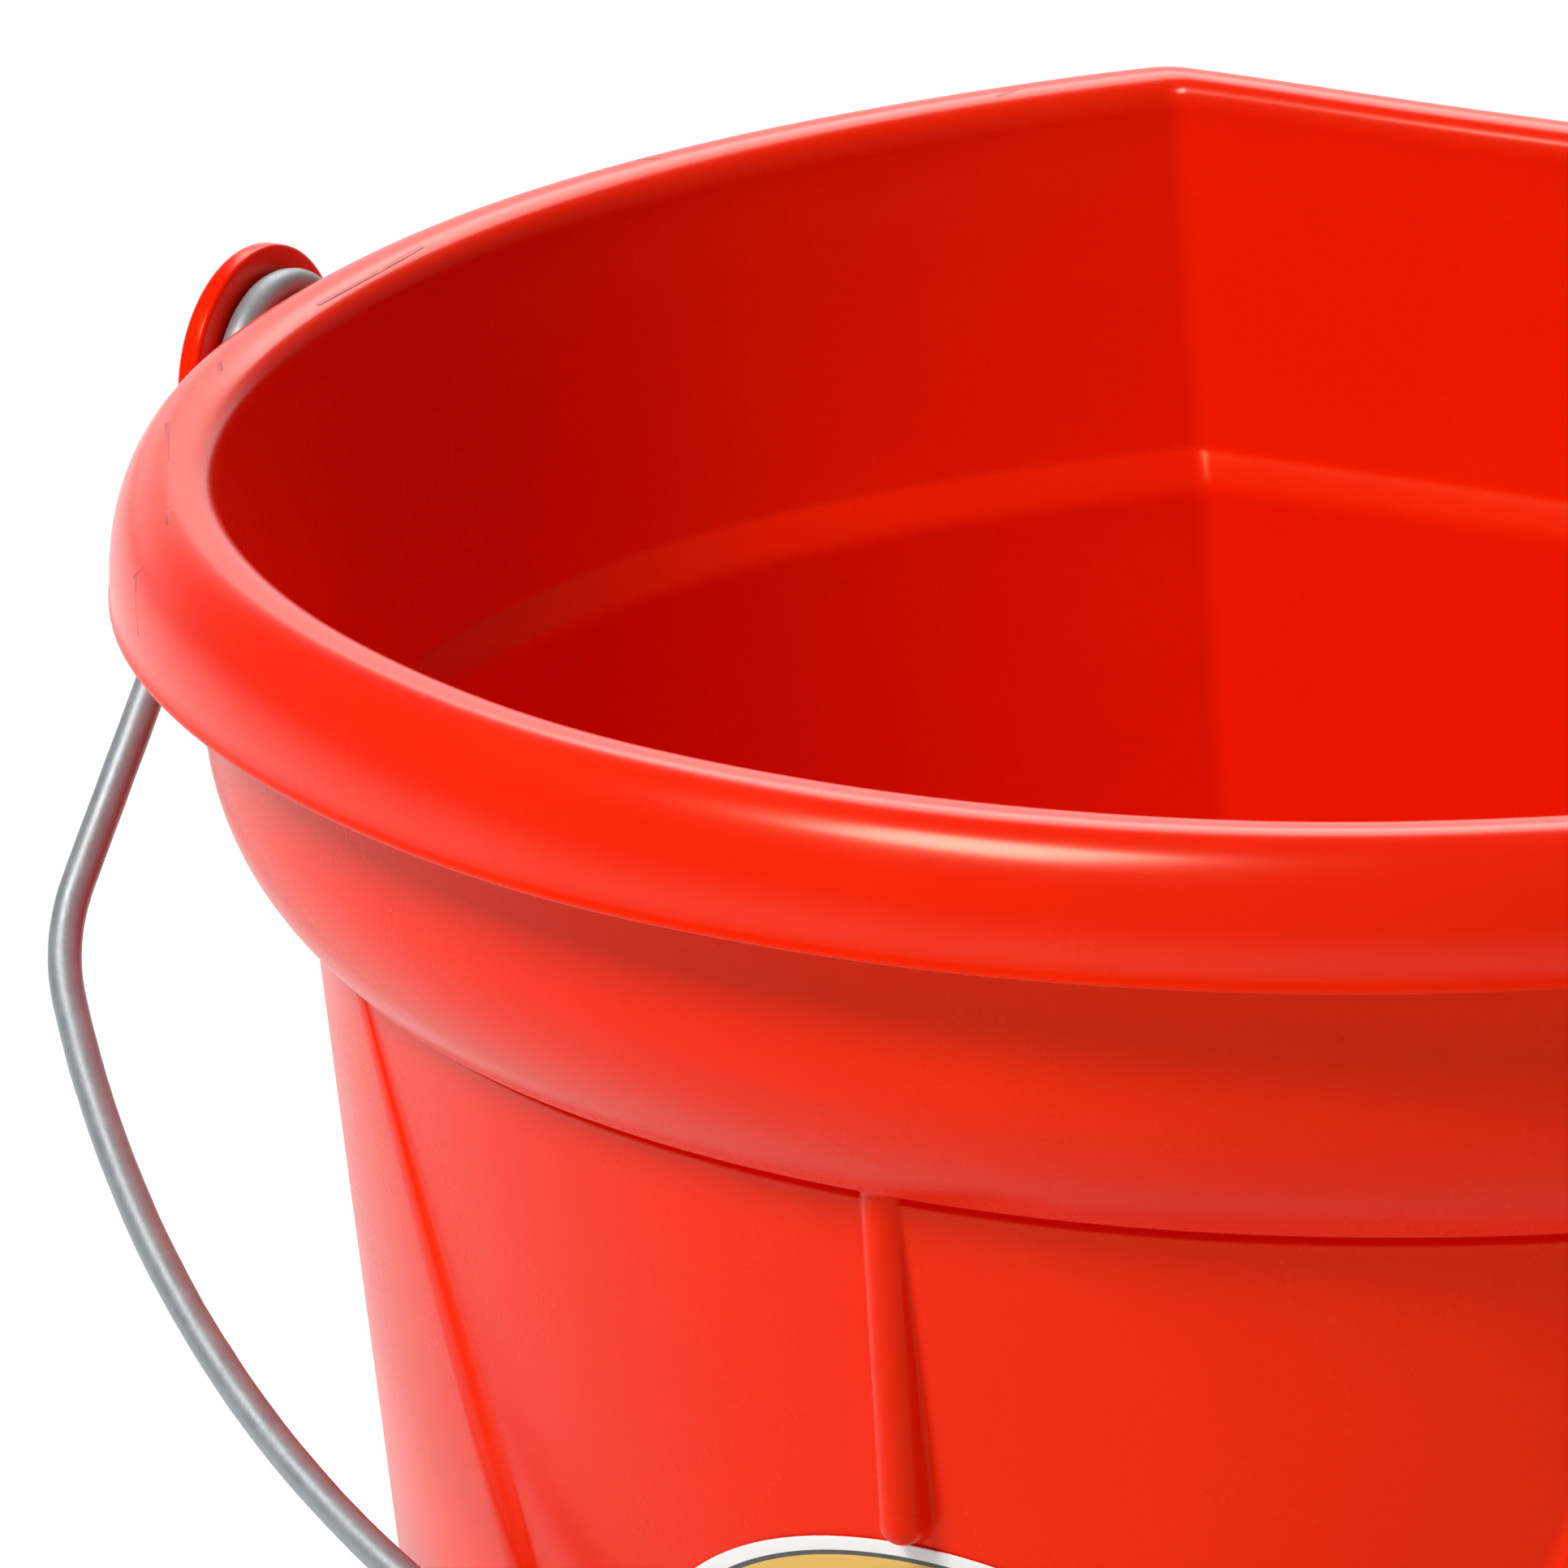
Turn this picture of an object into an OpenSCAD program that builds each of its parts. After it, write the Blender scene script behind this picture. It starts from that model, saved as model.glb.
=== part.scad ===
// Flat-backed utility bucket: one moulded shell, two ear studs, a wire bail and an oval label.
// X runs across the bucket through the ears, the flat back faces +Y, and Z is up from the floor.

/* [Bucket] */
// Width over the rolled rim
rim_w = 336; // [310:1:360]
// Reach of the rounded front, forward of the widest line
front_reach = 151; // [140:1:165]
// Reach of the flat back, behind the widest line
back_reach = 126; // [118:1:136]
// Width of the flat back between its two corners, at the rim
flat_w = 202; // [190:1:220]
// Height to the top of the rim
bucket_h = 280; // [260:1:310]
// Wall thickness
wall_t = 4; // [3:0.1:5]

/* [Rim and step] */
// Height of the rolled rim, from the lip's lower edge to the crest
rim_rise = 17.5; // [15:0.5:20]
// Inward distance from the lip to the crest of the rim
crest_in = 9; // [8:0.5:11]
// Depth of the upper band, from the lip down to the step
band_h = 39; // [34:1:44]
// Inward distance from the lip to the step's edge
step_in = 19; // [17:0.5:21]
// Inward slope of the lower body, in mm per mm of height
draft = 0.051; // [0.03:0.001:0.06]

/* [Ears and bail] */
// Diameter of the bail wire
wire_d = 4.8; // [4:0.1:5.2]
// Diameter of the stud that the bail's eye turns on
shank_d = 20; // [18:0.5:21]
// Diameter of the stud's retaining disc
disc_d = 36.8; // [36:0.5:42]
// Distance from the ear axis to the middle of the bail's grip
bail_reach = 183; // [180:1:190]
// Forward lean of the hanging bail, from straight down
bail_lean = 44; // [44:1:60]

/* [Rib and label] */
// Width of the front stacking rib
rib_w = 5.2; // [4:0.2:7]
// Length of the rib below the step
rib_h = 49.4; // [30:0.2:50]
// Width of the oval label
label_w = 100; // [80:1:110]
// Height of the oval label
label_h = 80; // [60:1:84]

/* [Hidden] */
$fn = 64;

half_w = rim_w / 2;
widest_y = (front_reach - back_reach) / 2;   // puts the bucket's middle at y = 0
lip_z = bucket_h - rim_rise;
step_z = lip_z - band_h;
back_share = 0.8;                            // the flat back slopes this much of what the sides do

// Flat back: direction of the side wall where it meets the back corner.
shoulder_y = 71;
corner = [-flat_w / 2, back_reach];
shoulder = [-half_w, shoulder_y];
corner_run = (shoulder - corner) / norm(shoulder - corner);
corner_out = [corner_run[1], -corner_run[0]];

// Lower body
body_top_in = step_in + 3;
function body_in(z) = body_top_in + draft * (step_z - z);

// Shield-shaped front panel, set back from the sides a little more towards the floor.
panel_top_half = 99;
panel_foot_half = 40;
panel_depth = 3;
crease_angle = 1.4;
function panel_drop(z) = max(0, step_z - z);
function panel_half(z) = let (f = panel_drop(z) / step_z)
    panel_foot_half + (panel_top_half - panel_foot_half) * pow(1 - f, 1.6);
function panel_in(z) = let (f = min(1, panel_drop(z) / 150)) panel_depth * sqrt(f) * sign(f);

// One level of the wall: the D-shaped outline, inset by d from the lip's outline.
side_steps = 9;
panel_side_steps = 9;
panel_steps = 14;
function bezier(a, b, c, s) = (1 - s) * (1 - s) * a + 2 * s * (1 - s) * b + s * s * c;
function corner_at(d) = let (db = back_share * d)
    [corner[0] + (d - corner_out[1] * db) / -corner_out[0], corner[1] - db];
function shoulder_at(d) = [-half_w + d, shoulder_y - d * (1 + corner_out[0]) / corner_out[1]];
function front_at(t, d) = [-(half_w - d) * cos(t), -(front_reach - d) * sin(t)];
function half_outline(d, z, panelled) = let (
    fold = acos(panel_half(z) / (half_w - body_in(min(z, step_z)))),
    recess = panelled ? panel_in(z) : 0)
    concat(
        [for (i = [0 : side_steps - 1])
            bezier(corner_at(d), shoulder_at(d), [-half_w + d, 0], i / side_steps)],
        [for (i = [0 : panel_side_steps]) front_at(fold * i / panel_side_steps, d)],
        [for (i = [0 : panel_steps])
            front_at(fold + crease_angle + (90 - fold - crease_angle) * i / panel_steps, d + recess)]);
function level(d, z, panelled = false) = let (
    left = half_outline(d, z, panelled),
    n = len(left) - 1,
    right = [for (i = [n - 1 : -1 : 0]) [-left[i][0], left[i][1]]])
    [for (p = concat(left, right)) [p[0], p[1] + widest_y, z]];

// The wall's section, as levels from under the floor, up the outside and down the inside.
foot_h = 2.5;
foot_w = 8;
floor_t = 4;
floor_z = foot_h + floor_t;
foot_round = 2;
body_levels = 6;
foot_levels = [
    level(body_in(0) + foot_w + 1.5, foot_h, true),
    level(body_in(0) + foot_w, 0, true),
    level(body_in(0) + foot_round, 0, true),
    level(body_in(0) + 0.6, 0.6, true)];
outer_body = [for (i = [0 : body_levels])
    let (z = foot_round + (step_z - 1 - foot_round) * i / body_levels)
    level(body_in(z), z, true)];

// Upper band: upright under the lip, then turning in to 45 degrees at the step.
band_r = 31;
band_turn = 45;
band_steps = 6;
band_top_in = step_in - band_r * (1 - cos(band_turn));
outer_band = [for (i = [0 : band_steps]) let (q = band_turn * (1 - i / band_steps))
    level(band_top_in + band_r * (1 - cos(q)), step_z + band_r * (sin(band_turn) - sin(q)))];

// Rolled rim: a hollow skirt outside, the crest, and a rounded inner edge.
skirt_t = 2.4;
hollow_h = 12;
inner_edge_in = band_top_in + wall_t + 1.4;
inner_edge_drop = 5.5;
rim_steps = 6;
rim_levels = concat(
    [level(band_top_in, lip_z + hollow_h - 3), level(band_top_in - 2.4, lip_z + hollow_h),
     level(skirt_t + 2.2, lip_z + hollow_h - 2.5), level(skirt_t, lip_z + 2), level(skirt_t - 0.4, lip_z)],
    [for (i = [0 : rim_steps]) let (q = 90 * i / rim_steps)
        level(crest_in * (1 - cos(q)), lip_z + 0.4 + (rim_rise - 0.4) * sin(q))],
    [for (i = [1 : rim_steps]) let (q = 90 * i / rim_steps)
        level(crest_in + (inner_edge_in - crest_in) * sin(q),
              bucket_h - inner_edge_drop * (1 - cos(q)))]);

// Inside: the wall runs down to a sloping ledge, then follows the lower body to the floor.
ledge_top_in = step_in + wall_t - 0.4;
ledge_z = step_z + 5;
floor_r = 8;
inner_top = [level(ledge_top_in, ledge_z)];
inner_body = [for (i = [0 : body_levels])
    let (z = step_z - 1 - (step_z - 1 - floor_z - floor_r) * i / body_levels)
    level(body_in(z) + wall_t, z, true)];
floor_levels = [for (i = [1 : 3]) let (q = 30 * i)
    level(body_in(floor_z) + wall_t + floor_r * (1 - cos(q)), floor_z + floor_r * (1 - sin(q)), true)];

shell_levels = concat(foot_levels, outer_body, outer_band, rim_levels, inner_top, inner_body, floor_levels);
ring = len(shell_levels[0]);

// Ears: a round boss under each side of the rim takes the stem of a mushroom-headed stud.
ear_y = widest_y + 2;
ear_z = lip_z + 0.7;
boss_r = 12.5;
boss_root = half_w - 15;
boss_face = half_w + 0.1;
stem_r = 5;
stem_l = 9;
wire_r = wire_d / 2;
eye_gap = 0.3;
eye_clear = 0.25;
eye_x = boss_face + eye_gap + wire_r;
disc_in = eye_x + wire_r + eye_clear;
disc_t = 3.4;
disc_round = 1;
eye_r = shank_d / 2 + eye_clear + wire_r;

// Bail, drawn hanging straight down and then leant forward about the ear axis.
arm_front = 4;
shoulder_r = 30;
bow_r = 200;
bow_c = bail_reach - bow_r;
shoulder_c = bow_c + sqrt(pow(bow_r - shoulder_r, 2) - pow(eye_x - shoulder_r, 2));
shoulder_turn = atan2(shoulder_c - bow_c, eye_x - shoulder_r);
arm_top = sqrt(pow(eye_r, 2) - pow(arm_front, 2));
bend_lap = 0.3;
bow_lap = 0.1;
bend_thin = 0.01;                            // the bends lap inside the straight wire and the bow

// Rib and label, on the front
rib_face = front_reach - body_top_in + 0.9;
label_t = 0.25;
label_gap = 0.12;
label_z = lip_z - 129.5;
label_rings = 10;
label_spokes = 40;
function front_wall(x, z) = let (d = body_in(z) + panel_in(z))
    widest_y - (front_reach - d) * sqrt(1 - pow(x / (half_w - d), 2));

module loft(levels) {
    n = len(levels[0]);
    last = len(levels) - 1;
    polyhedron(
        points = [for (l = levels) each l],
        faces = concat(
            [[for (i = [0 : n - 1]) i]],
            [for (k = [0 : last - 1], i = [0 : n - 1]) each let (
                a = k * n + i, b = k * n + (i + 1) % n, c = a + n, d = b + n)
                [[a, c, b], [b, c, d]]],
            [[for (i = [n - 1 : -1 : 0]) last * n + i]]),
        convexity = 6);
}

module along_x(side, x) {
    translate([side * x, ear_y, ear_z]) rotate([0, side * 90, 0]) children();
}

module rib() {
    top = step_z + 3;
    foot = step_z - rib_h + rib_w / 2;
    translate([0, widest_y - rib_face + rib_w / 2, foot]) {
        cylinder(d = rib_w, h = top - foot);
        sphere(d = rib_w);
    }
}

module bucket_shell() {
    color("orangered") difference() {
        union() {
            loft(shell_levels);
            rib();
            for (side = [-1, 1])
                along_x(side, boss_root) cylinder(r = boss_r, h = boss_face - boss_root);
        }
        for (side = [-1, 1])
            along_x(side, boss_face - stem_l) cylinder(r = stem_r, h = stem_l + 1);
    }
}

module ear_stud(side) {
    color("orangered") along_x(side, boss_face - stem_l) rotate_extrude() polygon([
        [0, 0], [stem_r, 0], [stem_r, stem_l], [shank_d / 2, stem_l],
        [shank_d / 2, disc_in - boss_face + stem_l],
        [disc_d / 2 - disc_round / 2, disc_in - boss_face + stem_l],
        [disc_d / 2, disc_in - boss_face + stem_l + disc_round / 2],
        [disc_d / 2, disc_in - boss_face + stem_l + disc_t - disc_round],
        [disc_d / 2 - disc_round, disc_in - boss_face + stem_l + disc_t],
        [0, disc_in - boss_face + stem_l + disc_t]]);
}

module left_ear_stud() {
    ear_stud(-1);
}

module right_ear_stud() {
    ear_stud(1);
}

// A wire arc in the bail's own plane, about [x, s], from angle a through sweep.
module wire_arc(x, s, r, a, sweep, thin = 0) {
    translate([x, 0, -s]) rotate([90, 0, 0]) rotate([0, 0, -a - sweep])
        rotate_extrude(angle = sweep) translate([r, 0]) circle(r = wire_r - thin);
}

module bail() {
    color("lightslategray") translate([0, ear_y, ear_z]) rotate([-bail_lean, 0, 0]) {
        for (side = [-1, 1]) {
            translate([side * eye_x, 0, 0]) rotate([0, 90, 0])
                rotate_extrude() translate([eye_r, 0]) circle(r = wire_r);
            translate([side * eye_x, -arm_front, -shoulder_c - bend_lap])
                cylinder(r = wire_r, h = shoulder_c + bend_lap - arm_top);
        }
        translate([0, -arm_front, 0]) {
            wire_arc(0, bow_c, bow_r, shoulder_turn - bow_lap, 180 - 2 * (shoulder_turn - bow_lap));
            wire_arc(eye_x - shoulder_r, shoulder_c, shoulder_r, 0, shoulder_turn, bend_thin);
            wire_arc(shoulder_r - eye_x, shoulder_c, shoulder_r, 180 - shoulder_turn, shoulder_turn,
                     bend_thin);
        }
    }
}

// The label bends round the front wall, a hair clear of it.
function label_point(k, i, lift) = let (
    share = (k + 1) / label_rings,
    x = share * label_w / 2 * cos(360 * i / label_spokes),
    z = label_z + share * label_h / 2 * sin(360 * i / label_spokes))
    [x, front_wall(x, z) - label_gap - lift, z];

module front_label() {
    back = [for (k = [0 : label_rings - 1]) [for (i = [0 : label_spokes - 1]) label_point(k, i, 0)]];
    face = [for (k = [label_rings - 1 : -1 : 0])
        [for (i = [0 : label_spokes - 1]) label_point(k, i, label_t)]];
    color("gold") loft(concat(back, face));
}

bucket_shell();
left_ear_stud();
right_ear_stud();
bail();
front_label();
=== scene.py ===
from math import acos, cos, pi, radians, sin, sqrt

import bmesh
import bpy
import numpy as np
from mathutils import Matrix, Vector, noise


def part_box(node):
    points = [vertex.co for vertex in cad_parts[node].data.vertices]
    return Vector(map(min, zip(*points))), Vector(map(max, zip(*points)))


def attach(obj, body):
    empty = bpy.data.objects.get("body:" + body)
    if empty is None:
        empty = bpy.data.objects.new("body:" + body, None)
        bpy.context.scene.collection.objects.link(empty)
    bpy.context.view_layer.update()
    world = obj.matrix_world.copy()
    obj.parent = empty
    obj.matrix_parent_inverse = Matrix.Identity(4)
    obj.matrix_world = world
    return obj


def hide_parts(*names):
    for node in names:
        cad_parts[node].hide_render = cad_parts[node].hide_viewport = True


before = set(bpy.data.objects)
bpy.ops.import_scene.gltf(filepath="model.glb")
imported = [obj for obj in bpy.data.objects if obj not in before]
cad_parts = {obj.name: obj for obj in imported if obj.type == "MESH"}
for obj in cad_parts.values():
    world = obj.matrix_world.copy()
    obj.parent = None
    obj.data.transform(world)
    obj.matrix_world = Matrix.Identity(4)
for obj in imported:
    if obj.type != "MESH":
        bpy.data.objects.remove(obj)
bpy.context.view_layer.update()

# ---- Camera
# A long lens, standing to the front right of the bucket and a little above its rim. It is
# aimed at the left of the mouth and tipped a little to one side.
aim_point = Vector((-0.0604, -0.0372, 0.2381))
stand_off = 1.4775
camera_turn = radians(32.55)
camera_height = radians(21.03)
camera_tip = radians(-3.56)

camera = bpy.data.objects.new("camera", bpy.data.cameras.new("camera"))
bpy.context.scene.collection.objects.link(camera)
bpy.context.scene.camera = camera
camera.data.sensor_width = 36
camera.data.lens = 260.87
camera.data.clip_start = 0.05
camera.data.clip_end = 60
camera_axes = (Matrix.Rotation(camera_turn, 4, "Z")
               @ Matrix.Rotation(pi / 2 - camera_height, 4, "X")
               @ Matrix.Rotation(camera_tip, 4, "Z"))
camera.matrix_world = (Matrix.Translation(aim_point + camera_axes.col[2].to_3d() * stand_off)
                       @ camera_axes)

# ---- Floor and studio light
# A wide sheet of matt white paper in a room that is white behind the bucket, lit by one soft
# box high at the front left and a large one over the back.
paper_bm = bmesh.new()
bmesh.ops.create_grid(paper_bm, x_segments=8, y_segments=8, size=14)
paper_mesh = bpy.data.meshes.new("paper_floor")
paper_bm.to_mesh(paper_mesh)
paper_bm.free()
paper_floor = bpy.data.objects.new("paper_floor", paper_mesh)
bpy.context.scene.collection.objects.link(paper_floor)
paper = bpy.data.materials.new("matt_paper")
paper.use_nodes = True
paper_shader = paper.node_tree.nodes["Principled BSDF"]
paper_shader.inputs["Base Color"].default_value = (0.7, 0.7, 0.7, 1)
paper_shader.inputs["Roughness"].default_value = 0.95
paper_shader.inputs["Specular IOR Level"].default_value = 0.1
paper_shader.inputs["Emission Color"].default_value = (1, 1, 1, 1)
paper_shader.inputs["Emission Strength"].default_value = 0.3
paper_mesh.materials.append(paper)

# the room is white behind the bucket and dim in front and above
room = bpy.data.worlds.new("studio_room")
room.use_nodes = True
tree = room.node_tree
room_way = tree.nodes.new("ShaderNodeVectorMath")
room_way.operation = "DOT_PRODUCT"
room_way.inputs[1].default_value = (-0.54, 0.84, -0.25)
tree.links.new(tree.nodes.new("ShaderNodeTexCoord").outputs["Generated"], room_way.inputs[0])
room_light = tree.nodes.new("ShaderNodeMapRange")
room_light.interpolation_type = "SMOOTHSTEP"
for label, number in (("From Min", 0.62), ("From Max", 0.9), ("To Min", 0.14), ("To Max", 1.15)):
    room_light.inputs[label].default_value = number
tree.links.new(room_way.outputs["Value"], room_light.inputs["Value"])
tree.links.new(room_light.outputs["Result"], tree.nodes["Background"].inputs["Strength"])
tree.nodes["Background"].inputs["Color"].default_value = (1.0, 1.0, 1.0, 1)
bpy.context.scene.world = room
bpy.context.scene.view_settings.view_transform = "Standard"


def soft_box(name, place, aim, width, height, watts):
    lamp = bpy.data.objects.new(name, bpy.data.lights.new(name, "AREA"))
    lamp.data.shape = "RECTANGLE"
    lamp.data.size = width
    lamp.data.size_y = height
    lamp.data.energy = watts
    lamp.visible_camera = False
    way = (Vector(aim) - Vector(place)).to_track_quat("-Z", "Y")
    lamp.matrix_world = Matrix.Translation(place) @ way.to_matrix().to_4x4()
    bpy.context.scene.collection.objects.link(lamp)
    return lamp


soft_box("key_soft_box", (-0.6, -1.3, 1.95), (0, 0, 0.25), 0.75, 0.6, 42)
soft_box("rear_soft_box", (-0.9, 2.2, 2.4), (-0.3, 0.9, 0.0), 2.0, 2.0, 60)

# ---- Bucket shell
# One injection moulding in red polyethylene: a tapering D-shaped tub with a flat back, a
# rounded band and step below a hollow rolled rim, a shield-shaped front panel set in behind a
# crease, and a short rib down the middle of the front. Sizes are in millimetres.
shell_low, shell_high = (1000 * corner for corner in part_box("bucket_shell"))
ear_proud = 0.1
half_w = shell_high.x - ear_proud
bucket_h = shell_high.z
widest_y = 12.5
front_reach = widest_y - shell_low.y
back_reach = shell_high.y - widest_y
rim_rise = 17.5
lip_z = bucket_h - rim_rise
band_h = 39
step_z = lip_z - band_h
step_in = 19
wall_t = 4
draft = 0.051
body_top_in = step_in + 3
back_share = 0.8
back_corner = np.array((-101.0, back_reach))
shoulder = np.array((-half_w, 71.0))
corner_run = (shoulder - back_corner) / np.linalg.norm(shoulder - back_corner)
corner_out = np.array((corner_run[1], -corner_run[0]))
panel_top_half, panel_foot_half, panel_depth = 99, 40, 2.0
crease_top, crease_spread = radians(0.35), radians(1.9)
rib_w, rib_h, rib_zone = 5.8, 49.4, 13
rib_face = widest_y - (front_reach - body_top_in + 1.5)
rib_foot = step_z - rib_h + rib_w / 2
rib_columns = np.array((13, 11.5, 10, 8.8, 7.8, 6.9, 6.1, 5.4, 4.8, 4.3, 3.9, 3.6, 3.35, 3.15,
                        3.0, 2.88, 2.76, 2.66, 2.58, 2.5, 2.38, 2.2, 1.95, 1.6, 1.15, 0.6, 0.0))
back_columns, corner_columns, side_columns = 18, 12, 46
corner_lift, rim_swell = 1.4, 1.4
fore_columns, crease_columns, panel_columns = 32, 8, 40


def body_in(z):
    return body_top_in + draft * (step_z - z)


def panel_in(z):
    return panel_depth * sqrt(min(1, max(0, step_z - z) / 150))


def ring(inset, z, corner_r, panelled=False, wave=0.0, swell=0.0):
    """One level of the D, inset from the lip's outline: a row for each column, from the
    middle of the back round the left to the middle of the front, and back on the right."""
    back_in = back_share * inset
    corner = np.array((back_corner[0] + (inset - corner_out[1] * back_in) / -corner_out[0],
                       back_corner[1] - back_in))
    bend = np.array((-half_w + inset,
                     shoulder[1] - inset * (1 + corner_out[0]) / corner_out[1]))
    widest = np.array((-half_w + inset, 0.0))
    along_back = np.array((1.0, 0.0))
    along_side = (bend - corner) / np.linalg.norm(bend - corner)
    half_angle = acos(along_back @ along_side) / 2
    cut = corner_r / np.tan(half_angle)
    middle = along_back + along_side
    centre = corner + middle / np.linalg.norm(middle) * corner_r / sin(half_angle)
    share = np.linspace(0, 1, back_columns, endpoint=False)[:, None]
    back = (1 - share) * (0, corner[1]) + share * (corner + along_back * cut)
    first = (corner + along_back * cut - centre) / corner_r
    last = (corner + along_side * cut - centre) / corner_r
    sweep = acos(first @ last)
    share = np.linspace(0, 1, corner_columns, endpoint=False)[:, None]
    turn = (np.sin((1 - share) * sweep) * first + np.sin(share * sweep) * last) / sin(sweep)
    turn = centre + corner_r * turn
    share = np.linspace(cut / np.linalg.norm(bend - corner) / 2, 1, side_columns,
                        endpoint=False)[:, None]
    side = (1 - share) ** 2 * corner + 2 * share * (1 - share) * bend + share ** 2 * widest
    low = min(z, step_z)
    panel_half = (panel_foot_half + (panel_top_half - panel_foot_half)
                  * (1 - max(0, step_z - low) / step_z) ** 1.6)
    fold = acos(panel_half / (half_w - body_in(low)))
    depth = panel_in(z) if panelled else 0.0
    crease = np.linspace(0, 1, crease_columns, endpoint=False)
    crease_angle = crease_top + crease_spread * min(1, (step_z - low) / 110)
    wide = half_w - inset - depth
    angle = np.concatenate((np.linspace(0, fold, fore_columns, endpoint=False),
                            fold + crease_angle * crease,
                            np.linspace(fold + crease_angle, acos(rib_zone / wide),
                                        panel_columns, endpoint=False),
                            np.arccos(rib_columns / wide)))
    set_in = np.concatenate((np.zeros(fore_columns), 1 - (1 - crease) ** 2,
                             np.ones(panel_columns + len(rib_columns)))) * depth + inset
    front = np.stack((-(half_w - set_in) * np.cos(angle),
                      -(front_reach - set_in) * np.sin(angle)), 1)
    flare = np.sin(np.clip(angle / radians(62), 0, 1) * pi) ** 2
    front *= 1 + (swell * flare / np.linalg.norm(front, axis=1))[:, None]
    left = np.concatenate((back, turn, side, front))
    right = left[-2:0:-1] * (-1, 1)
    whole = np.concatenate((left, right))
    rise = min(1, max(0, (z - 236) / 24))
    near_corner = np.hypot(np.abs(whole[:, 0]) + corner[0], whole[:, 1] - corner[1])
    height = z + corner_lift * rise / (1 + (near_corner / 45) ** 2)
    if wave:
        about = np.arctan2(whole[:, 1], whole[:, 0])
        sway = (np.sin(7 * about + z / 23) + np.sin(11 * about - z / 31 + 2)
                + np.sin(17 * about + z / 17 + 1) + 3) / 6
        whole *= 1 - (wave * sway / np.linalg.norm(whole, axis=1))[:, None]
    return np.column_stack((whole[:, 0], whole[:, 1] + widest_y, height))


def with_rib(points):
    """Brings the outside of the front wall forward over the rib, with a small fillet."""
    x, y, z = points.T
    off = np.where(z > rib_foot, np.abs(x), np.hypot(x, z - rib_foot))
    radius = rib_w / 2
    near = np.minimum(off, 0.985 * radius)
    rib = rib_face + radius - np.sqrt(radius ** 2 - near ** 2) + 7 * (off - near)
    fillet = 0.9
    blend = np.maximum(fillet - np.abs(rib - y), 0) / fillet
    points[:, 1] = np.where(y < 0, np.minimum(rib, y) - blend ** 2 * fillet / 4, y)
    return points


def eased(start, end, steps, bulge_in, bulge_z):
    """Levels from start towards end along a quarter ellipse, as pairs of inset and height."""
    return [(start[0] + (end[0] - start[0]) * bulge_in(pi / 2 * i / steps),
             start[1] + (end[1] - start[1]) * bulge_z(pi / 2 * i / steps))
            for i in range(1, steps + 1)]


def rising(angle):
    return sin(angle)


def falling(angle):
    return 1 - cos(angle)


foot_in = body_in(0)
floor_z, floor_r = 6.5, 8
outside = [(foot_in + 9.6, 2.5), (foot_in + 8.9, 2.3), (foot_in + 8.4, 1.6), (foot_in + 8.1, 0.7),
           (foot_in + 7.6, 0.15), (foot_in + 7.0, 0.0), (foot_in + 4.5, 0.0), (foot_in + 2.4, 0.0)]
outside += eased((foot_in + 2.4, 0), (body_in(2.4), 2.4), 6, rising, falling)
body_heights = np.concatenate((
    np.linspace(6, 60, 12), np.linspace(67, 168, 14), np.linspace(171, 182.6, 24),
    np.linspace(188, 214, 8), np.linspace(215.5, 220.2, 6)))
outside += [(body_in(z), z) for z in body_heights]
# a narrow groove under the step, then the step's flat underside and its edge
outside += [(body_top_in + deep, step_z - under) for deep, under in (
    (0.08, 2.9), (0.2, 2.7), (0.55, 2.55), (1.1, 2.4), (1.3, 2.1), (1.3, 1.5), (1.0, 1.1),
    (-1.6, 0.78))]
outside += [(step_in + 0.6, step_z - 0.5), (step_in + 0.3, step_z - 0.4),
            (step_in + 0.12, step_z - 0.28), (step_in + 0.02, step_z - 0.1)]
band_r, band_turn = 31, radians(45)
band_top_in = step_in - band_r * (1 - cos(band_turn))
band = [(band_top_in + band_r * (1 - cos(q)), step_z + band_r * (sin(band_turn) - sin(q)))
        for q in np.linspace(band_turn - 0.012, 0, 22)]
band += [(band_top_in, z) for z in np.linspace(step_z + band_r * sin(band_turn) + 3,
                                               lip_z + 8.5, 8)]
skirt_t = 2.4
rim = eased((band_top_in, lip_z + 8.5), (band_top_in - 3.2, lip_z + 12), 5, falling, rising)
rim += eased((band_top_in - 3.2, lip_z + 12), (skirt_t, lip_z + 6.5), 5, rising, falling)
rim += [(skirt_t, lip_z + 4), (skirt_t, lip_z + 2), (skirt_t - 0.1, lip_z + 0.6)]
rim += eased((skirt_t - 0.1, lip_z + 0.6), (1.6, lip_z), 3, falling, rising)
rim += [(0.8, lip_z), (0.3, lip_z), (0.1, lip_z + 0.06), (0.0, lip_z + 0.25), (0.02, lip_z + 0.6),
        (0.16, lip_z + 1.0), (0.3, lip_z + 1.6)]
crest_in, inner_edge_in, inner_drop = 9, band_top_in + wall_t + 1.4, 5.5
rim += [(0.3 + (crest_in - 0.3) * (1 - cos(q)), lip_z + 1.6 + (rim_rise - 1.6) * sin(q))
        for q in np.linspace(0, pi / 2, 20)[1:]]
rim += [(crest_in + (inner_edge_in - crest_in) * sin(q) ** 0.75,
         bucket_h - inner_drop * (1 - cos(q) ** 0.7)) for q in np.linspace(0, pi / 2, 21)[1:]]
ledge_top_in, ledge_z = step_in + wall_t - 0.4, step_z + 5
inner_foot_in = body_in(step_z - 1) + wall_t
inside = [(inner_edge_in + (ledge_top_in - inner_edge_in) * s,
           bucket_h - inner_drop - (bucket_h - inner_drop - ledge_z) * s)
          for s in np.linspace(0, 0.95, 10)[1:]]
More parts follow.
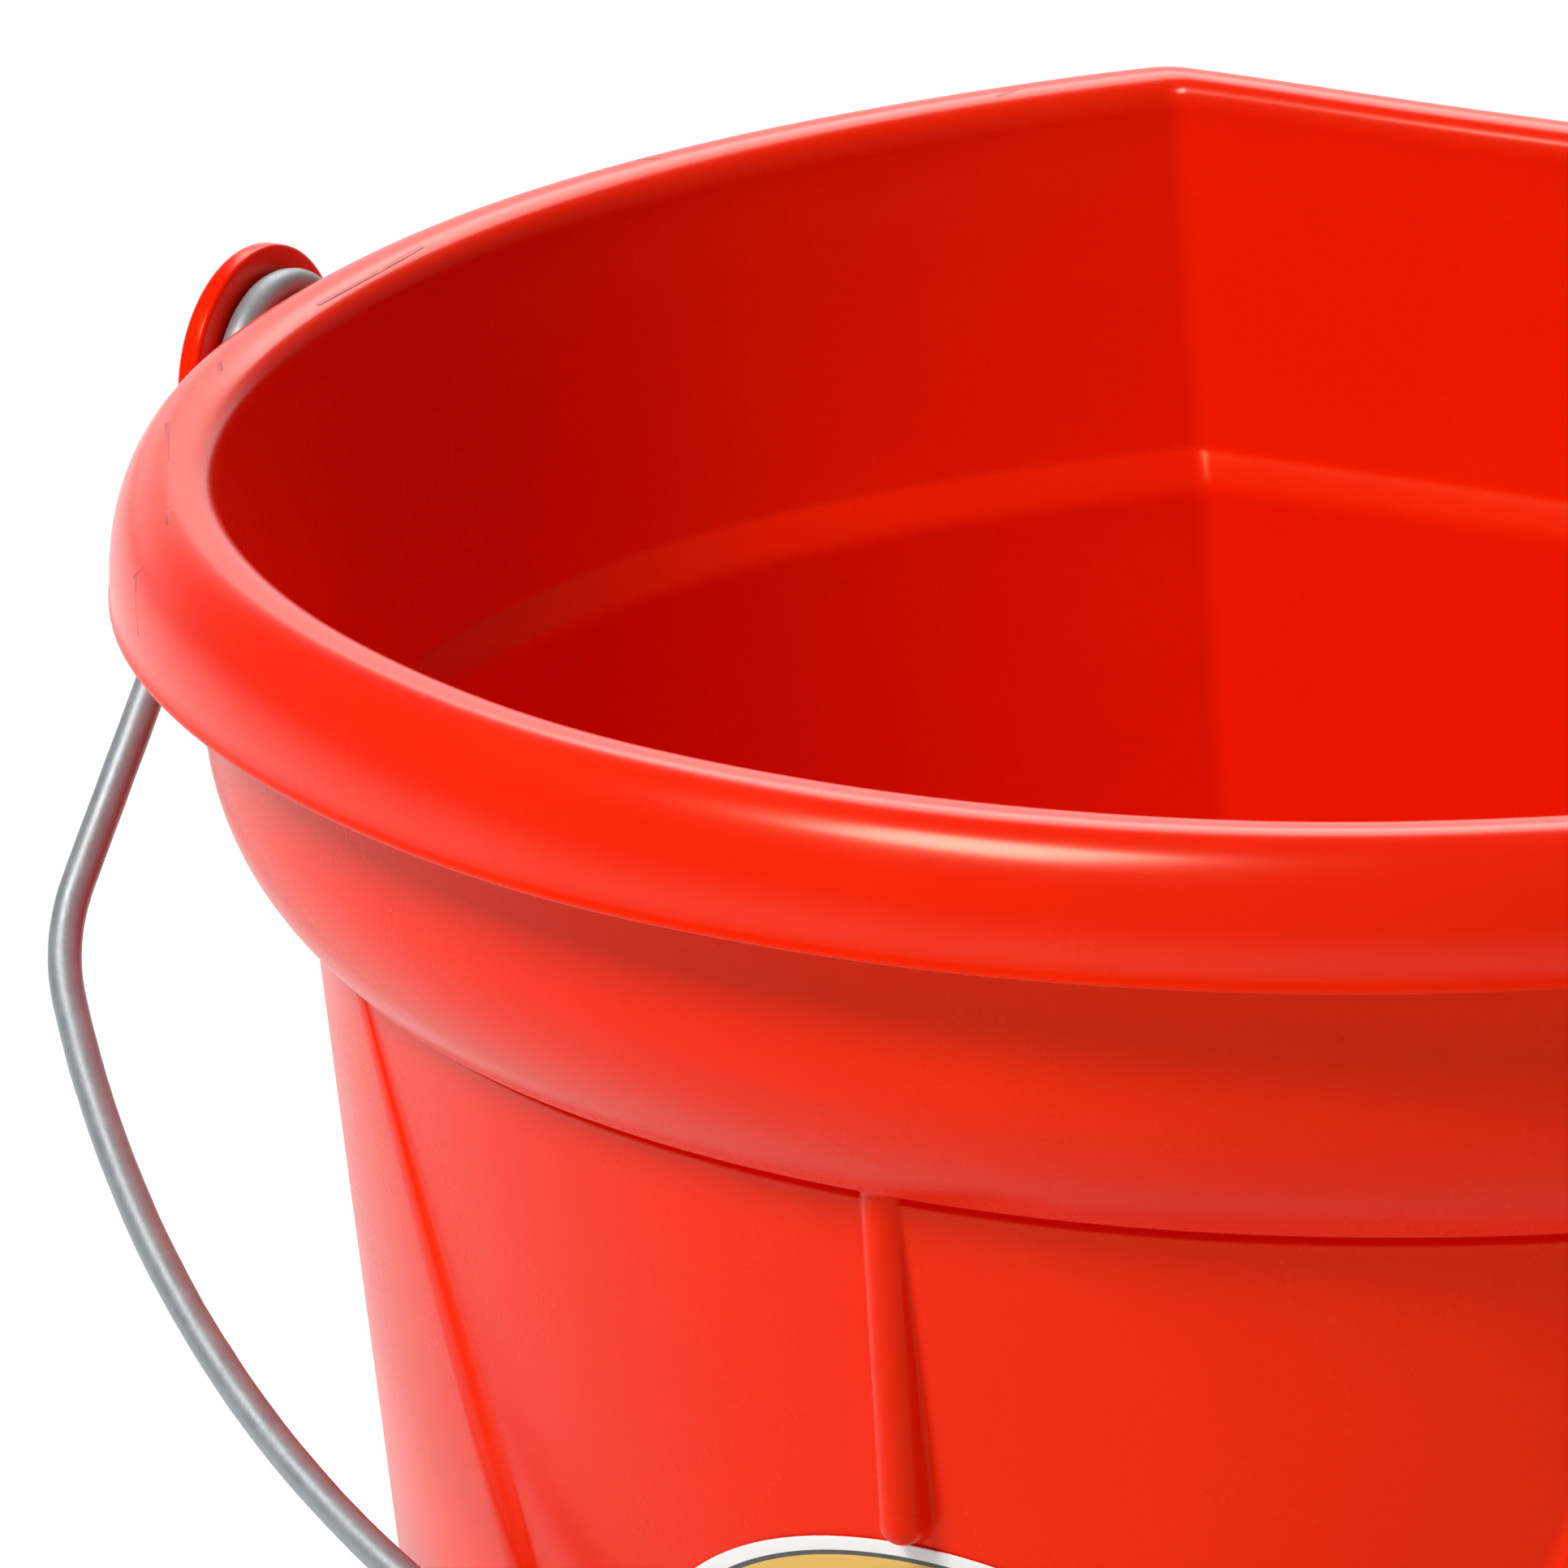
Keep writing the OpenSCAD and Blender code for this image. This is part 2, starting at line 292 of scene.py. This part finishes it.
inside += [(ledge_top_in - 0.02, ledge_z + 0.9), (ledge_top_in + 0.08, ledge_z + 0.5),
           (ledge_top_in + 0.3, ledge_z + 0.1), (ledge_top_in + 0.65, ledge_z - 0.35),
           (ledge_top_in + 1.6, ledge_z - 1.75), (ledge_top_in + 2.6, ledge_z - 3.3),
           (ledge_top_in + 3.1, ledge_z - 4.15), (inner_foot_in - 0.16, ledge_z - 4.7),
           (inner_foot_in - 0.04, ledge_z - 5.15), (inner_foot_in + 0.02, ledge_z - 5.8),
           (inner_foot_in + 0.07, ledge_z - 7.5)]
inner_heights = np.concatenate((np.linspace(218, 200, 5), np.linspace(193, floor_z + floor_r, 18)))
tub = [(body_in(z) + wall_t, z) for z in inner_heights]
floor_in = body_in(floor_z) + wall_t
tub += [(floor_in + floor_r * (1 - cos(q)), floor_z + floor_r * (1 - sin(q)))
        for q in np.linspace(0, pi / 2, 9)[1:]]

levels = [ring(i, z, 7.5, True, 0.12) for i, z in outside]
levels = [with_rib(level) for level in levels]
levels += [ring(i, z, 11, False, 0.2, rim_swell * min(1, max(0, (z - 250) / 20))) for i, z in band]
levels += [ring(i, z, 11.5 - 0.42 * min(i, 16), False, 0.35, rim_swell) for i, z in rim]
levels += [ring(i, z, 4.6, False, 0.35, rim_swell * min(1, max(0, (z - 250) / 20)))
           for i, z in inside]
levels += [ring(i, z, 4.6, True, 0.2) for i, z in tub]

column_count = len(levels[0])
bm = bmesh.new()
column = bm.verts.layers.int.new("column")
circle = bmesh.ops.create_circle(bm, segments=column_count, radius=100)["verts"]
for place, vert in enumerate(circle):
    vert[column] = place
    vert.co = levels[0][place]
first_edges = edges = bm.edges[:]


def grown_from(bm, edges):
    """Extrudes an open edge where it lies, and gives its new points and its new edge."""
    grown = bmesh.ops.extrude_edge_only(bm, edges=edges)["geom"]
    verts = {g for g in grown if isinstance(g, bmesh.types.BMVert)}
    return verts, [g for g in grown if isinstance(g, bmesh.types.BMEdge)
                   and g.verts[0] in verts and g.verts[1] in verts]


def drawn_up(bm, edges, level, column):
    """Extrudes an open edge and sets its new points on a level."""
    verts, edges = grown_from(bm, edges)
    for vert in verts:
        vert.co = level[vert[column]]
    return edges


def made_ready(bm):
    """Turns the faces outward, smooths them and brings the piece from millimetres to metres."""
    bmesh.ops.recalc_face_normals(bm, faces=bm.faces)
    for face in bm.faces:
        face.smooth = True
    bmesh.ops.scale(bm, vec=(0.001, 0.001, 0.001), verts=bm.verts)


for level in levels[1:]:
    edges = drawn_up(bm, edges, level, column)
for open_edges, flat in ((edges, levels[-1]), (first_edges, levels[0])):
    middle = np.array((0, widest_y - 8, flat[0][2]))
    for size in (0.93, 0.84, 0.74, 0.62, 0.5, 0.38, 0.26, 0.15, 0.07, 0.03):
        open_edges = drawn_up(bm, open_edges, middle + (flat - middle) * size, column)
    bmesh.ops.edgeloop_fill(bm, edges=open_edges)
made_ready(bm)


def finished(name, bm, material, body, slot, *nodes):
    """Makes the piece from its bmesh, ties it to its CAD body and hides its CAD nodes. The slot is
    not used.
    """
    mesh = bpy.data.meshes.new(name)
    bm.to_mesh(mesh)
    bm.free()
    mesh.materials.append(material)
    piece = bpy.data.objects.new(name, mesh)
    bpy.context.scene.collection.objects.link(piece)
    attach(piece, body)
    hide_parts(*nodes)
    return piece


def new_group(name, inputs, outputs):
    """A shader node group with number inputs, and outputs that vary over the surface."""
    group = bpy.data.node_groups.new(name, "ShaderNodeTree")
    for label, value in inputs.items():
        group.interface.new_socket(label, in_out="INPUT",
                                   socket_type="NodeSocketFloat").default_value = value
    for label in outputs:
        group.interface.new_socket(label, in_out="OUTPUT", socket_type="NodeSocketFloat")
    return group, group.nodes.new("NodeGroupInput"), group.nodes.new("NodeGroupOutput")


def math_node(tree, operation, first, second=None, third=None):
    node = tree.nodes.new("ShaderNodeMath")
    node.operation = operation
    for socket, value in zip(node.inputs, (first, second, third)):
        if isinstance(value, (int, float)):
            socket.default_value = value
        elif value is not None:
            tree.links.new(value, socket)
    return node.outputs[0]


def noise_node(tree, vector, scale, detail=2.0, roughness=0.5):
    node = tree.nodes.new("ShaderNodeTexNoise")
    tree.links.new(vector, node.inputs["Vector"])
    if isinstance(scale, (int, float)):
        node.inputs["Scale"].default_value = scale
    else:
        tree.links.new(scale, node.inputs["Scale"])
    node.inputs["Detail"].default_value = detail
    node.inputs["Roughness"].default_value = roughness
    return node.outputs["Fac"]


def between(tree, value, low, high, to_low=0.0, to_high=1.0):
    node = tree.nodes.new("ShaderNodeMapRange")
    node.interpolation_type = "SMOOTHSTEP"
    for label, number in (("From Min", low), ("From Max", high),
                          ("To Min", to_low), ("To Max", to_high)):
        node.inputs[label].default_value = number
    tree.links.new(value, node.inputs["Value"])
    return node.outputs["Result"]


def stretched(tree, vector, scale, turn=(0, 0, 0), location=(0, 0, 0)):
    node = tree.nodes.new("ShaderNodeMapping")
    node.inputs["Scale"].default_value = scale
    node.inputs["Rotation"].default_value = turn
    node.inputs["Location"].default_value = location
    tree.links.new(vector, node.inputs["Vector"])
    return node.outputs["Vector"]


# Moulded skin: the fine orange peel of the mould's surface and the slow ripples where the
# plastic shrank as it cooled.
skin, skin_in, skin_out = new_group("moulded_skin", {"Peel per metre": 700.0,
                                                     "Ripples per metre": 30.0},
                                    ("Peel", "Ripple", "Speck"))
skin_at = skin.nodes.new("ShaderNodeTexCoord").outputs["Object"]
skin.links.new(noise_node(skin, skin_at, skin_in.outputs[0], 3), skin_out.inputs["Peel"])
skin.links.new(noise_node(skin, skin_at, skin_in.outputs[1], 2), skin_out.inputs["Ripple"])
skin.links.new(between(skin, noise_node(skin, skin_at, 420, 1), 0.8, 0.85),
               skin_out.inputs["Speck"])

# Scuffs: short fine scratches in two directions, in a few patches.
scuff, scuff_in, scuff_out = new_group("handling_scuffs", {"Patches per metre": 14.0,
                                                           "Least": 0.62}, ("Scuff",))
scuff_at = scuff.nodes.new("ShaderNodeTexCoord").outputs["Object"]
lines = None
for turn, stretch in (((0.2, 0.5, 0.4), (30, 1500, 1500)), ((1.1, 0.2, 1.3), (1300, 40, 1300))):
    streak = between(scuff, noise_node(scuff, stretched(scuff, scuff_at, stretch, turn), 1, 0),
                     0.72, 0.78)
    lines = streak if lines is None else math_node(scuff, "MAXIMUM", lines, streak)
patches = noise_node(scuff, scuff_at, scuff_in.outputs[0], 3)
patches = math_node(scuff, "SUBTRACT", patches, scuff_in.outputs[1])
patches = between(scuff, patches, 0.0, 0.1, 0.0, 0.8)
scuff.links.new(math_node(scuff, "MULTIPLY", lines, patches), scuff_out.inputs["Scuff"])


def placed(material, group, **values):
    node = material.node_tree.nodes.new("ShaderNodeGroup")
    node.node_tree = group
    for label, value in values.items():
        node.inputs[label.replace("_", " ")].default_value = value
    return node.outputs


def mixed(tree, amount, first, second):
    node = tree.nodes.new("ShaderNodeMix")
    node.data_type = "RGBA"
    tree.links.new(amount, node.inputs["Factor"])
    for socket, value in ((node.inputs[6], first), (node.inputs[7], second)):
        if isinstance(value, tuple):
            socket.default_value = (*value, 1)
        else:
            tree.links.new(value, socket)
    return node.outputs[2]


def bumped(tree, height, distance, strength=1.0, under=None):
    node = tree.nodes.new("ShaderNodeBump")
    node.inputs["Distance"].default_value = distance
    node.inputs["Strength"].default_value = strength
    tree.links.new(height, node.inputs["Height"])
    if under is not None:
        tree.links.new(under, node.inputs["Normal"])
    return node.outputs["Normal"]


def red_plastic(name, peel, gloss, least_scuff, marks=None):
    """Red polyethylene, through-coloured, with the gloss its mould gives it."""
    material = bpy.data.materials.new(name)
    material.use_nodes = True
    tree = material.node_tree
    shader = tree.nodes["Principled BSDF"]
    skin_of = placed(material, skin, Peel_per_metre=peel)
    scuffs = placed(material, scuff, Least=least_scuff)["Scuff"]
    tone = mixed(tree, skin_of["Ripple"], (0.85, 0.012, 0.0), (0.92, 0.018, 0.0))
    tone = mixed(tree, math_node(tree, "MULTIPLY", skin_of["Speck"], 0.2), tone,
                 (0.4, 0.004, 0.002))
    tone = mixed(tree, math_node(tree, "MULTIPLY", scuffs, 0.2), tone, (1.0, 0.06, 0.02))
    if marks:
        # painted shade: the mould lines darken the base colour along them
        tone = mixed(tree, math_node(tree, "MULTIPLY", marks(material), 0.55), tone,
                     (0.35, 0.0, 0.0))
    tree.links.new(tone, shader.inputs["Base Color"])
    rough = math_node(tree, "MULTIPLY_ADD", skin_of["Ripple"], 0.12, gloss - 0.06)
    rough = math_node(tree, "MULTIPLY_ADD", scuffs, 0.12, rough)
    rough = math_node(tree, "MULTIPLY_ADD", skin_of["Peel"], 0.03, rough)
    tree.links.new(rough, shader.inputs["Roughness"])
    grain = bumped(tree, skin_of["Peel"], 0.00002, 0.15)
    grain = bumped(tree, skin_of["Ripple"], 0.0006, 0.3, grain)
    grain = bumped(tree, scuffs, 0.00004, 0.1, grain)
    if marks:
        grain = bumped(tree, marks(material), 0.0002, 1.0, grain)
    tree.links.new(grain, shader.inputs["Normal"])
    shader.inputs["IOR"].default_value = 1.49
    shader.inputs["Specular Tint"].default_value = (1.0, 0.5, 0.2, 1)
    shader.inputs["Specular IOR Level"].default_value = 0.28
    return material


# Mould marks: the short raised lines that the mould's inserts leave round the rim, broken up
# where they have worn away. Their mask bumps the surface and also darkens the red along them
# as painted shade.
mould_line, line_in, line_out = new_group("mould_line", {}, ("Line",))
for label in ("Start", "Way"):
    mould_line.interface.new_socket(label, in_out="INPUT", socket_type="NodeSocketVector")


def vector_node(tree, operation, first, second=None, scale=None, output="Vector"):
    node = tree.nodes.new("ShaderNodeVectorMath")
    node.operation = operation
    for socket, value in ((node.inputs[0], first), (node.inputs[1], second),
                          (node.inputs[3], scale)):
        if value is not None:
            tree.links.new(value, socket)
    return node.outputs[output]


line_at = mould_line.nodes.new("ShaderNodeTexCoord").outputs["Object"]
line_way = line_in.outputs["Way"]
line_from = vector_node(mould_line, "SUBTRACT", line_at, line_in.outputs["Start"])
line_share = math_node(mould_line, "DIVIDE",
                       vector_node(mould_line, "DOT_PRODUCT", line_from, line_way, output="Value"),
                       vector_node(mould_line, "DOT_PRODUCT", line_way, line_way, output="Value"))
line_share.node.use_clamp = True
line_near = vector_node(mould_line, "SCALE", line_way, scale=line_share)
line_off = vector_node(mould_line, "DISTANCE", line_from, line_near, output="Value")
line_worn = between(mould_line, noise_node(mould_line, line_at, 260, 1), 0.4, 0.5, 0.25, 1.0)
line_mask = between(mould_line, line_off, 0.00012, 0.0004, 1.0, 0.0)
mould_line.links.new(math_node(mould_line, "MULTIPLY", line_mask, line_worn),
                     line_out.inputs["Line"])
# the two ends of each mark, in millimetres
rim_marks = (((-147.7, -45.7, 279.9), (-124.6, -79.7, 279.7)),
             ((-150.5, -33.8, 280.3), (-156.5, -37.4, 277.0)),
             ((-125.3, -85.2, 275.6), (-127.2, -84.4, 273.6)),
             ((-126.6, -84.9, 274.0), (-123.0, -90.6, 268.4)),
             ((-151.8, -27.2, 279.9), (-154.6, -23.4, 280.2)),
             ((-155.0, 1.4, 279.8), (-154.9, 27.0, 279.9)),
             ((-146.8, 70.2, 280.4), (-144.2, 71.4, 280.2)),
             ((-112.6, 112.2, 281.0), (-111.4, 115.0, 280.9)))


def rim_lines(material):
    """The mould lines on the rim, joined into one mask."""
    tree = material.node_tree
    found = 0.0
    for start, end in rim_marks:
        node = tree.nodes.new("ShaderNodeGroup")
        node.node_tree = mould_line
        node.inputs["Start"].default_value = Vector(start) * 0.001
        node.inputs["Way"].default_value = (Vector(end) - Vector(start)) * 0.001
        found = math_node(tree, "MAXIMUM", node.outputs["Line"], found)
    return found


def polished_rim(material):
    """The rim's own gloss, where hands have polished it."""
    tree = material.node_tree
    place = tree.nodes.new("ShaderNodeSeparateXYZ")
    tree.links.new(tree.nodes.new("ShaderNodeTexCoord").outputs["Object"], place.inputs[0])
    shader = tree.nodes["Principled BSDF"]
    tree.links.new(between(tree, place.outputs["Z"], lip_z * 0.001, lip_z * 0.001 + 0.004, 0, 0.3),
                   shader.inputs["Coat Weight"])
    shader.inputs["Coat Roughness"].default_value = 0.2
    shader.inputs["Coat IOR"].default_value = 1.49


shell_red = red_plastic("red_polyethylene", 700.0, 0.25, 0.74, rim_lines)
polished_rim(shell_red)
finished("bucket_shell_moulding", bm, shell_red, "bucket", "red_plastic", "bucket_shell")

# ---- Ear bosses
# A round pad moulded under each side of the rim, part of the shell, with a flat face that
# the bail's eye turns against and a bore that holds the stud.
ear_y, ear_z = widest_y + 2, lip_z + 0.7
boss_face = half_w + ear_proud
stem_r, boss_r = 5.0, 12.5


def turned(profile, side, steps=96):
    """Spins a section of pairs, along the ear's axis and out from it, about that axis."""
    bm = bmesh.new()
    chain = [bm.verts.new((along, 0, out)) for along, out in profile]
    lines = [bm.edges.new(pair) for pair in zip(chain, chain[1:])]
    bmesh.ops.spin(bm, geom=chain + lines, cent=(0, 0, 0), axis=(1, 0, 0), angle=2 * pi,
                   steps=steps, use_merge=True)
    bmesh.ops.remove_doubles(bm, verts=bm.verts, dist=0.001)
    bmesh.ops.scale(bm, vec=(side * 0.001, 0.001, 0.001), verts=bm.verts)
    bmesh.ops.translate(bm, vec=(0, ear_y * 0.001, ear_z * 0.001), verts=bm.verts)
    bmesh.ops.recalc_face_normals(bm, faces=bm.faces)
    for face in bm.faces:
        face.smooth = True
    return bm


boss_section = [(boss_face - 15, stem_r + 0.02), (boss_face - 15, boss_r + 0.6)]
boss_section += [(boss_face - 14, boss_r + 0.55), (boss_face - 8, boss_r + 0.3),
                 (boss_face - 3, boss_r + 0.1), (boss_face - 1.3, boss_r)]
boss_section += [(boss_face - 0.9 + 0.9 * sin(q), boss_r - 0.9 + 0.9 * cos(q))
                 for q in np.linspace(0, pi / 2, 7)]
boss_section += [(boss_face, r) for r in (11, 9.5, 8, 6.6)]
boss_section += [(boss_face - 0.08, 5.9), (boss_face - 0.35, 5.3), (boss_face - 0.9, stem_r + 0.02),
                 (boss_face - 15, stem_r + 0.02)]
for side, name in ((-1, "left_ear_boss"), (1, "right_ear_boss")):
    finished(name, turned(boss_section, side), shell_red, "bucket", "red_plastic", "bucket_shell")

# ---- Ear studs
# A mushroom-headed plug in the same red, glossier, pressed into each boss through the bail's
# eye. Its thick shank fills the eye and its round head keeps the wire on.
wire_r = 2.4
eye_x = boss_face + 0.3 + wire_r
head_in = eye_x + wire_r + 0.25
head_t, head_r, shank_r = 3.4, 17.9, 10.0
stud_red = red_plastic("glossy_red_plug", 900.0, 0.22, 0.66)
stud_section = [(boss_face - 9, 0), (boss_face - 9, 2.5), (boss_face - 9, stem_r - 0.7),
                (boss_face - 8.6, stem_r - 0.2), (boss_face - 8, stem_r),
                (boss_face - 4, stem_r), (boss_face + 0.02, stem_r),
                (boss_face + 0.02, shank_r - 0.5), (boss_face + 0.15, shank_r - 0.15),
                (boss_face + 0.5, shank_r)]
stud_section += [(head_in - 0.8 + 0.8 * sin(q), shank_r + 0.8 - 0.8 * cos(q))
                 for q in np.linspace(0, pi / 2, 6)]
stud_section += [(head_in, r) for r in (12.5, 14, 15.5, 17)]
stud_section += [(head_in + 0.55 - 0.55 * cos(q), head_r - 0.55 + 0.55 * sin(q))
                 for q in np.linspace(0, pi / 2, 6)]
stud_section += [(head_in + head_t - 1.3 + 1.3 * sin(q), head_r - 1.3 + 1.3 * cos(q))
                 for q in np.linspace(0, pi / 2, 9)]
stud_section += [(head_in + head_t, r) for r in (16.2, 15.4)]
stud_section += [(head_in + head_t - 0.1, 15.05), (head_in + head_t - 0.3, 14.8),
                 (head_in + head_t - 0.4, 14.3), (head_in + head_t - 0.4, 12),
                 (head_in + head_t - 0.36, 8), (head_in + head_t - 0.3, 4.2),
                 (head_in + head_t - 0.35, 3.3), (head_in + head_t - 0.6, 2.9),
                 (head_in + head_t - 0.7, 2.3), (head_in + head_t - 0.7, 1.0),
                 (head_in + head_t - 0.62, 0.6), (head_in + head_t - 0.55, 0)]
for side, name in ((-1, "left_ear_stud"), (1, "right_ear_stud")):
    finished(name + "_plug", turned(stud_section, side), stud_red, "bucket", "stud_plastic", name)

# ---- Bail
# One length of galvanised steel wire, bent into a bow with a shoulder at each side and curled
# round into an eye at each end. It hangs from the studs and leans forward.
arm_front, shoulder_r, bow_r, bow_c, bail_lean = 4, 30, 200, -17, radians(44)
shoulder_c = bow_c + sqrt((bow_r - shoulder_r) ** 2 - (eye_x - shoulder_r) ** 2)
shoulder_turn = np.arctan2(shoulder_c - bow_c, eye_x - shoulder_r)
eye_r = shank_r + 0.25 + wire_r
curl_r = 5.0
curl_z = -sqrt((eye_r + curl_r) ** 2 - (arm_front + curl_r) ** 2)
curl_turn = np.arctan2(-curl_z, arm_front + curl_r)
loose_end = radians(-82)

bm = bmesh.new()
wire_end = bmesh.ops.create_circle(bm, segments=20, radius=wire_r)["verts"]
bmesh.ops.rotate(bm, verts=wire_end, cent=(0, 0, 0), matrix=Matrix.Rotation(loose_end, 3, "X"))
bmesh.ops.translate(bm, verts=wire_end, vec=(-eye_x, eye_r * cos(loose_end),
                                             eye_r * sin(loose_end)))
wire_edges = bm.edges[:]
cut_edges = wire_edges


def curled(edges, centre, axis, angle, steps):
    grown = bmesh.ops.spin(bm, geom=edges, cent=centre, axis=axis, angle=angle, steps=steps)
    return [g for g in grown["geom_last"] if isinstance(g, bmesh.types.BMEdge)]


eye_sweep = pi + curl_turn - loose_end
wire_edges = curled(wire_edges, (-eye_x, 0, 0), (1, 0, 0), eye_sweep, 110)
wire_edges = curled(wire_edges, (-eye_x, -arm_front - curl_r, curl_z), (1, 0, 0),
                    -curl_turn, 14)
arm_steps = 60
for _ in range(arm_steps):
    fresh, wire_edges = grown_from(bm, wire_edges)
    bmesh.ops.translate(bm, verts=list(fresh), vec=(0, 0, (-shoulder_c - curl_z) / arm_steps))
wire_edges = curled(wire_edges, (shoulder_r - eye_x, -arm_front, -shoulder_c), (0, 1, 0),
                    -shoulder_turn, 16)
wire_edges = curled(wire_edges, (0, -arm_front, -bow_c), (0, 1, 0),
                    -(pi / 2 - shoulder_turn), 170)
# the loose end is cut square with a small burr rounded off
fresh, cut_edges = grown_from(bm, cut_edges)
end_at = Vector((-eye_x, eye_r * cos(loose_end), eye_r * sin(loose_end)))
end_way = Vector((0, sin(loose_end), -cos(loose_end)))
for vert in fresh:
    vert.co = end_at + (vert.co - end_at) * 0.86 + end_way * 0.25
bmesh.ops.edgeloop_fill(bm, edges=cut_edges)
bmesh.ops.mirror(bm, geom=bm.verts[:] + bm.edges[:] + bm.faces[:], axis="X", merge_dist=0.01)
bmesh.ops.remove_doubles(bm, verts=bm.verts, dist=0.005)
bmesh.ops.recalc_face_normals(bm, faces=bm.faces)
bm.normal_update()
for vert in bm.verts:
    lump = noise.noise(vert.co * 0.13) * 0.05 + noise.noise(vert.co * 0.5) * 0.035 - 0.07
    vert.co = vert.co + vert.normal * lump
for face in bm.faces:
    face.smooth = True
bmesh.ops.rotate(bm, verts=bm.verts, cent=(0, 0, 0), matrix=Matrix.Rotation(-bail_lean, 3, "X"))
bmesh.ops.translate(bm, verts=bm.verts, vec=(0, ear_y, ear_z))
bmesh.ops.scale(bm, vec=(0.001, 0.001, 0.001), verts=bm.verts)

galvanised = bpy.data.materials.new("galvanised_wire")
galvanised.use_nodes = True
tree = galvanised.node_tree
shader = tree.nodes["Principled BSDF"]
zinc_at = tree.nodes.new("ShaderNodeTexCoord").outputs["Object"]
spangle = noise_node(tree, zinc_at, 180, 3, 0.6)
fine = noise_node(tree, zinc_at, 900, 2, 0.6)
stain = between(tree, noise_node(tree, zinc_at, 60, 3), 0.55, 0.75)
zinc = mixed(tree, spangle, (0.22, 0.25, 0.265), (0.38, 0.41, 0.425))
zinc = mixed(tree, math_node(tree, "MULTIPLY", fine, 0.25), zinc, (0.5, 0.53, 0.55))
zinc = mixed(tree, math_node(tree, "MULTIPLY", stain, 0.25), zinc, (0.3, 0.25, 0.22))
tree.links.new(zinc, shader.inputs["Base Color"])
shader.inputs["Metallic"].default_value = 0.45
tree.links.new(math_node(tree, "MULTIPLY_ADD", spangle, 0.25, 0.36), shader.inputs["Roughness"])
zinc_grain = bumped(tree, fine, 0.00006, 0.6)
tree.links.new(bumped(tree, spangle, 0.0002, 0.35, zinc_grain), shader.inputs["Normal"])
finished("bail_wire", bm, galvanised, "bail", "galvanised_wire", "bail")

# ---- Front label
# An oval printed film label, stuck to the middle of the front panel below the rib. Its
# printing is left plain: a white edge, a dark line, a yellow band and a brown field.
label_w, label_h, label_t, label_gap = 100, 80, 0.25, 0.12
label_low, label_high = (1000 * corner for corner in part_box("front_label"))
label_z = (label_low.z + label_high.z) / 2
label_spokes = 120


def on_front(share, lift):
    """One oval ring of the label, bent round the front wall."""
    spoke = np.linspace(0, 2 * pi, label_spokes, endpoint=False)
    x = share * label_w / 2 * np.cos(spoke)
    z = label_z + share * label_h / 2 * np.sin(spoke)
    inset = np.array([body_in(height) + panel_in(height) for height in z])
    y = widest_y - (front_reach - inset) * np.sqrt(1 - (x / (half_w - inset)) ** 2)
    return np.column_stack((x, y - label_gap - lift, z))


label_rings = [on_front(s, 0) for s in (0.06, 0.25, 0.5, 0.75, 0.9)]
label_rings += [on_front(0.992, 0), on_front(0.999, 0.05), on_front(0.999, 0.16),
                on_front(0.996, 0.22), on_front(0.99, label_t)]
label_rings += [on_front(s, label_t) for s in np.linspace(0.95, 0.06, 24)]
bm = bmesh.new()
column = bm.verts.layers.int.new("column")
circle = bmesh.ops.create_circle(bm, segments=label_spokes, radius=10)["verts"]
for place, vert in enumerate(circle):
    vert[column] = place
    vert.co = label_rings[0][place]
back_edges = edges = bm.edges[:]
for level in label_rings[1:]:
    edges = drawn_up(bm, edges, level, column)
bmesh.ops.edgeloop_fill(bm, edges=edges)
bmesh.ops.edgeloop_fill(bm, edges=back_edges)
made_ready(bm)

printed = bpy.data.materials.new("printed_label")
printed.use_nodes = True
tree = printed.node_tree
shader = tree.nodes["Principled BSDF"]
label_at = tree.nodes.new("ShaderNodeTexCoord").outputs["Object"]
oval = stretched(tree, label_at, (2000 / label_w, 0, 2000 / label_h),
                 location=(0, 0, -label_z * 2 / label_h))
reach = tree.nodes.new("ShaderNodeVectorMath")
reach.operation = "LENGTH"
tree.links.new(oval, reach.inputs[0])
bands = tree.nodes.new("ShaderNodeValToRGB")
bands.color_ramp.interpolation = "CONSTANT"
inks = ((0.0, (0.10, 0.035, 0.018)), (0.80, (0.045, 0.02, 0.012)), (0.815, (0.78, 0.46, 0.05)),
        (0.935, (0.03, 0.032, 0.035)), (0.95, (0.88, 0.88, 0.87)))
while len(bands.color_ramp.elements) < len(inks):
    bands.color_ramp.elements.new(0.5)
for element, (start, ink) in zip(bands.color_ramp.elements, inks):
    element.position = start
    element.color = (*ink, 1)
tree.links.new(reach.outputs["Value"], bands.inputs["Fac"])
fibre = noise_node(tree, stretched(tree, label_at, (500, 500, 900)), 1, 3)
shade = mixed(tree, math_node(tree, "MULTIPLY", fibre, 0.12), bands.outputs["Color"],
              (0.7, 0.66, 0.6))
tree.links.new(shade, shader.inputs["Base Color"])
tree.links.new(math_node(tree, "MULTIPLY_ADD", fibre, 0.15, 0.3), shader.inputs["Roughness"])
tree.links.new(bumped(tree, fibre, 0.00004, 0.5), shader.inputs["Normal"])
finished("front_label_print", bm, printed, "bucket", "printed_label", "front_label")
